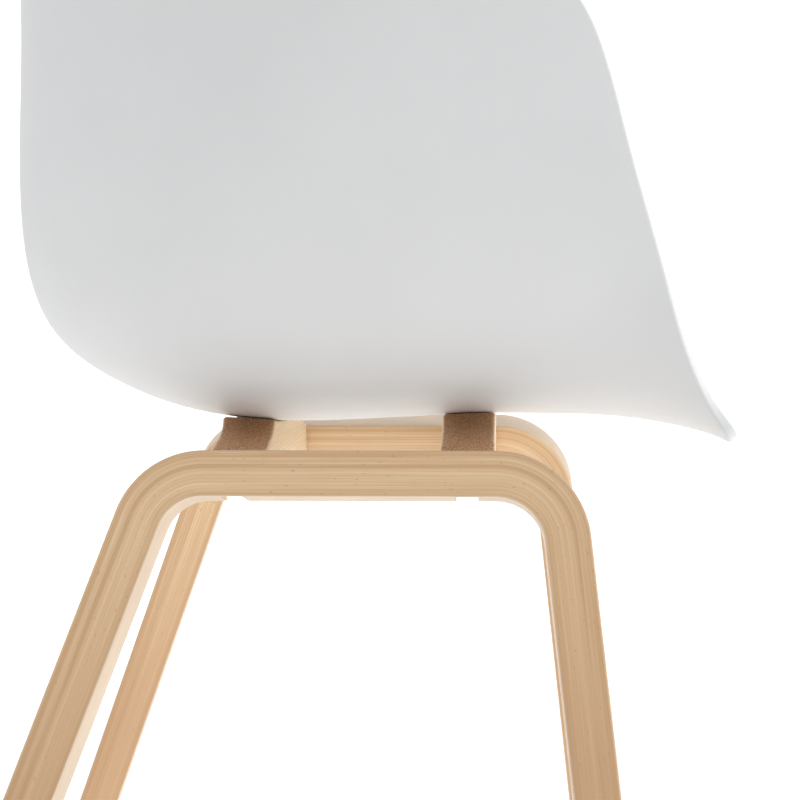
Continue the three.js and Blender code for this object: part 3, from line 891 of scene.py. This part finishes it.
def frame_hole(y, radius, bottom, top):
    return pillar(radius, -bottom, -top, place=on_frame_screw(y))


for place, y in BEAM_Y.items():
    beam(f"{place}_cross_beam", f"{place}_beam", y, BEAM_CRADLE[place], BEAM_TILT[place])


# ------------------------------------------------------------------ fasteners and glides
def socket_screw(name, node, size, length, place, flip=False):
    """A pan head with a hexagon socket and a plain shank, zero under the head."""
    shank, head, high, drive = (size[k] for k in ("shank", "head", "head_height", "drive"))
    profile = [(0, -high), (head * 0.62, -high), (head * 0.86, -high * 0.9),
               (head * 0.97, -high * 0.66), (head, -high * 0.3), (head * 0.98, 0),
               (shank, 0), (shank, length - shank * 0.7), (shank * 0.6, length), (0, length)]
    mesh = turned_mesh(name, profile, 48, place=place)
    hollow = [(0, -high - JOIN), (drive, -high - JOIN), (drive, -high * 0.4), (0, -high * 0.25)]
    mesh = boolean(mesh, [turned_mesh("socket", hollow, 6, place=place)], "DIFFERENCE")
    if flip:
        mirror_x(mesh)
    piece = make_object(name, mesh, steel)
    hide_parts(node)


def moved(x, y, z):
    return lambda point: (point[0] + x, point[1] + y, point[2] + z)


def seat_fastening(name, x, y, boss_end):
    """Washer, screw and threaded insert that hold the shell to a beam."""
    low = BEAM_BOTTOM + COUNTERBORE["depth"] - GAP - WASHER["thick"]
    bore, radius, thick = WASHER["bore"], WASHER["radius"], WASHER["thick"]
    corners = [(bore, 0), (radius, 0), (radius, thick), (bore, thick)]
    ring = [tuple(p) for p in rounded(corners, [WASHER["round"]] * 4, 2)]
    piece = make_object(f"washer_{name}", turned_mesh("washer", ring, 56, x, y, low), steel)
    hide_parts(f"seat_washer_{name}")
    face = low - GAP
    length = boss_end + INSERT["length"] - face
    socket_screw(f"shell_screw_{name}", f"seat_screw_{name}", SEAT_SCREW, length, moved(x, y, face))
    mesh = turned_mesh("insert", KNURL, 48, x, y, boss_end + GAP)
    piece = make_object(f"brass_insert_{name}", mesh, brass)
    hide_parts(f"thread_insert_{name}")


def frame_fastening(place, y, side):
    """The screw that goes up through a beam's tongue into the rail."""
    to_frame = on_frame_screw(y)
    lift = FRAME_SCREW["head_height"] - TONGUE["bottom"]
    socket_screw(f"tongue_screw_{place}_{side}", f"frame_screw_{place}_{side}", FRAME_SCREW,
                 FRAME_SCREW_LENGTH, lambda point: to_frame((point[0], point[1], point[2] + lift)),
                 side == "left")


def glide_profile():
    radius, foot, thick, recess, depth, bore = (
        GLIDE[k] for k in ("radius", "foot", "thick", "recess", "depth", "bore"))
    return [
        (bore, depth), (recess - 0.3, depth), (recess, depth - 0.3), (recess, 0.3),
        (recess + 0.3, 0), (foot - 0.5, 0), (foot + 0.3, 0.3), (radius - 0.35, 1.2),
        (radius, 1.8), (radius, thick - 0.4), (radius - 0.4, thick), (bore, thick),
    ]


def foot(place, side):
    """Glide and nail under a leg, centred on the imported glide."""
    node = f"glide_{place}_{side}"
    low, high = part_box(node)
    x, y = (low[0] + high[0]) / 2 / MM, (low[1] + high[1]) / 2 / MM
    piece = make_object(f"foot_{node}", turned_mesh("glide", glide_profile(), 56, x, y), nylon)
    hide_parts(node)
    mesh = turned_mesh("nail", NAIL, 40, x, y, GLIDE["depth"] - GAP)
    piece = make_object(f"foot_nail_{place}_{side}", mesh, steel)
    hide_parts(f"glide_nail_{place}_{side}")


for mounting in MOUNTINGS:
    seat_fastening(*mounting)
for place, y in BEAM_Y.items():
    for side in ("right", "left"):
        frame_fastening(place, y, side)
for place in ("front", "rear"):
    for side in ("right", "left"):
        foot(place, side)


# ------------------------------------------------------------------ floor, light and camera
def stage_material():
    n = Nodes("studio_white")
    place = n.add("TexCoord").outputs["Object"]
    tone = n.spread(n.noise(place, 3.0, 2.0), 0.3, 0.7)
    colour = n.mix(tone, (0.93, 0.93, 0.93, 1), (0.95, 0.95, 0.95, 1))
    return n.finish(Base_Color=colour, Roughness=0.9)


def studio_sweep():
    """A floor that curves up into a wall on the sitter's left."""
    wall_x, turn, half, top, steps = 6.0, 1.5, 9.0, 7.0, 16
    line = [(-half, 0.0), (wall_x - turn, 0.0)]
    for k in range(1, steps + 1):
        a = math.pi / 2 * k / steps
        line.append((wall_x - turn + turn * math.sin(a), turn * (1 - math.cos(a))))
    line.append((wall_x, top))
    verts = [(x, y, z) for x, z in line for y in (-half, half)]
    faces = [(2 * k, 2 * k + 1, 2 * k + 3, 2 * k + 2) for k in range(len(line) - 1)]
    mesh = bpy.data.meshes.new("studio_sweep")
    mesh.from_pydata(verts, [], faces)
    mesh.shade_smooth()
    mesh.materials.append(stage_material())
    sweep = bpy.data.objects.new("studio_sweep", mesh)
    bpy.context.collection.objects.link(sweep)


# place, target, size in metres and power in watts
LIGHTS = {
    "overhead": ((0.1, -0.4, 3.2), (0, 0, 0.4), 2.4, 44),
    "front": ((1.0, -3.0, 0.8), (0, 0, 0.6), 2.0, 19),
    "back": ((-0.9, 3.2, 1.8), (0, 0, 0.7), 2.0, 14),
    "floor": ((2.7, 0, 2.6), (5.2, 0, 0), 3.0, 95),
    "wall": ((3.2, 0, 5.0), (5.6, 0, 1.2), 3.0, 55),
    "low": ((-0.5, -2.0, 0.1), (0, -0.25, 0.45), 0.7, 14),
    "bounce": ((0.0, 0.0, 0.02), (0, 0.001, 1), 0.38, 0.4),
}
AIR_LIGHT = 0.66


def area_light(name, place, target, size, power):
    data = bpy.data.lights.new(name, "AREA")
    data.shape = "SQUARE"
    data.size = size
    data.energy = power
    light = bpy.data.objects.new(name, data)
    light.location = place
    light.rotation_euler = (Vector(target) - Vector(place)).to_track_quat("-Z", "Y").to_euler()
    light.visible_camera = False
    bpy.context.collection.objects.link(light)


def studio():
    world = bpy.data.worlds.new("studio_air")
    bpy.context.scene.world = world
    world.use_nodes = True
    background = world.node_tree.nodes["Background"]
    background.inputs[0].default_value = (1, 1, 1, 1)
    background.inputs[1].default_value = AIR_LIGHT
    for name, values in LIGHTS.items():
        area_light(name, *values)
    view = bpy.context.scene.view_settings
    view.view_transform = "Standard"
    view.look = "None"


# metres and radians; the lens and the sensor in millimetres
CAMERA_AT = (-1.49787, -0.11898, 0.54211)
CAMERA_TURN = {"yaw": -0.02475, "pitch": 0.02887, "roll": -0.0006}
CAMERA_SHIFT = (-0.0584, -0.07)
SENSOR = 36
LENS = 98.4555


def camera():
    """From the sitter's right, a little above the seat, looking slightly down and back."""
    data = bpy.data.cameras.new("camera")
    data.sensor_width = SENSOR
    data.lens = LENS
    data.shift_x, data.shift_y = CAMERA_SHIFT
    eye = bpy.data.objects.new("camera", data)
    eye.location = CAMERA_AT
    yaw, pitch, roll = CAMERA_TURN.values()
    level = math.cos(pitch)
    forward = Vector((math.cos(yaw) * level, -math.sin(yaw) * level, -math.sin(pitch)))
    eye.rotation_mode = "QUATERNION"
    tilt = Matrix.Rotation(roll, 4, forward).to_quaternion()
    eye.rotation_quaternion = tilt @ forward.to_track_quat("-Z", "Y")
    bpy.context.collection.objects.link(eye)
    bpy.context.scene.camera = eye


studio_sweep()
studio()
camera()
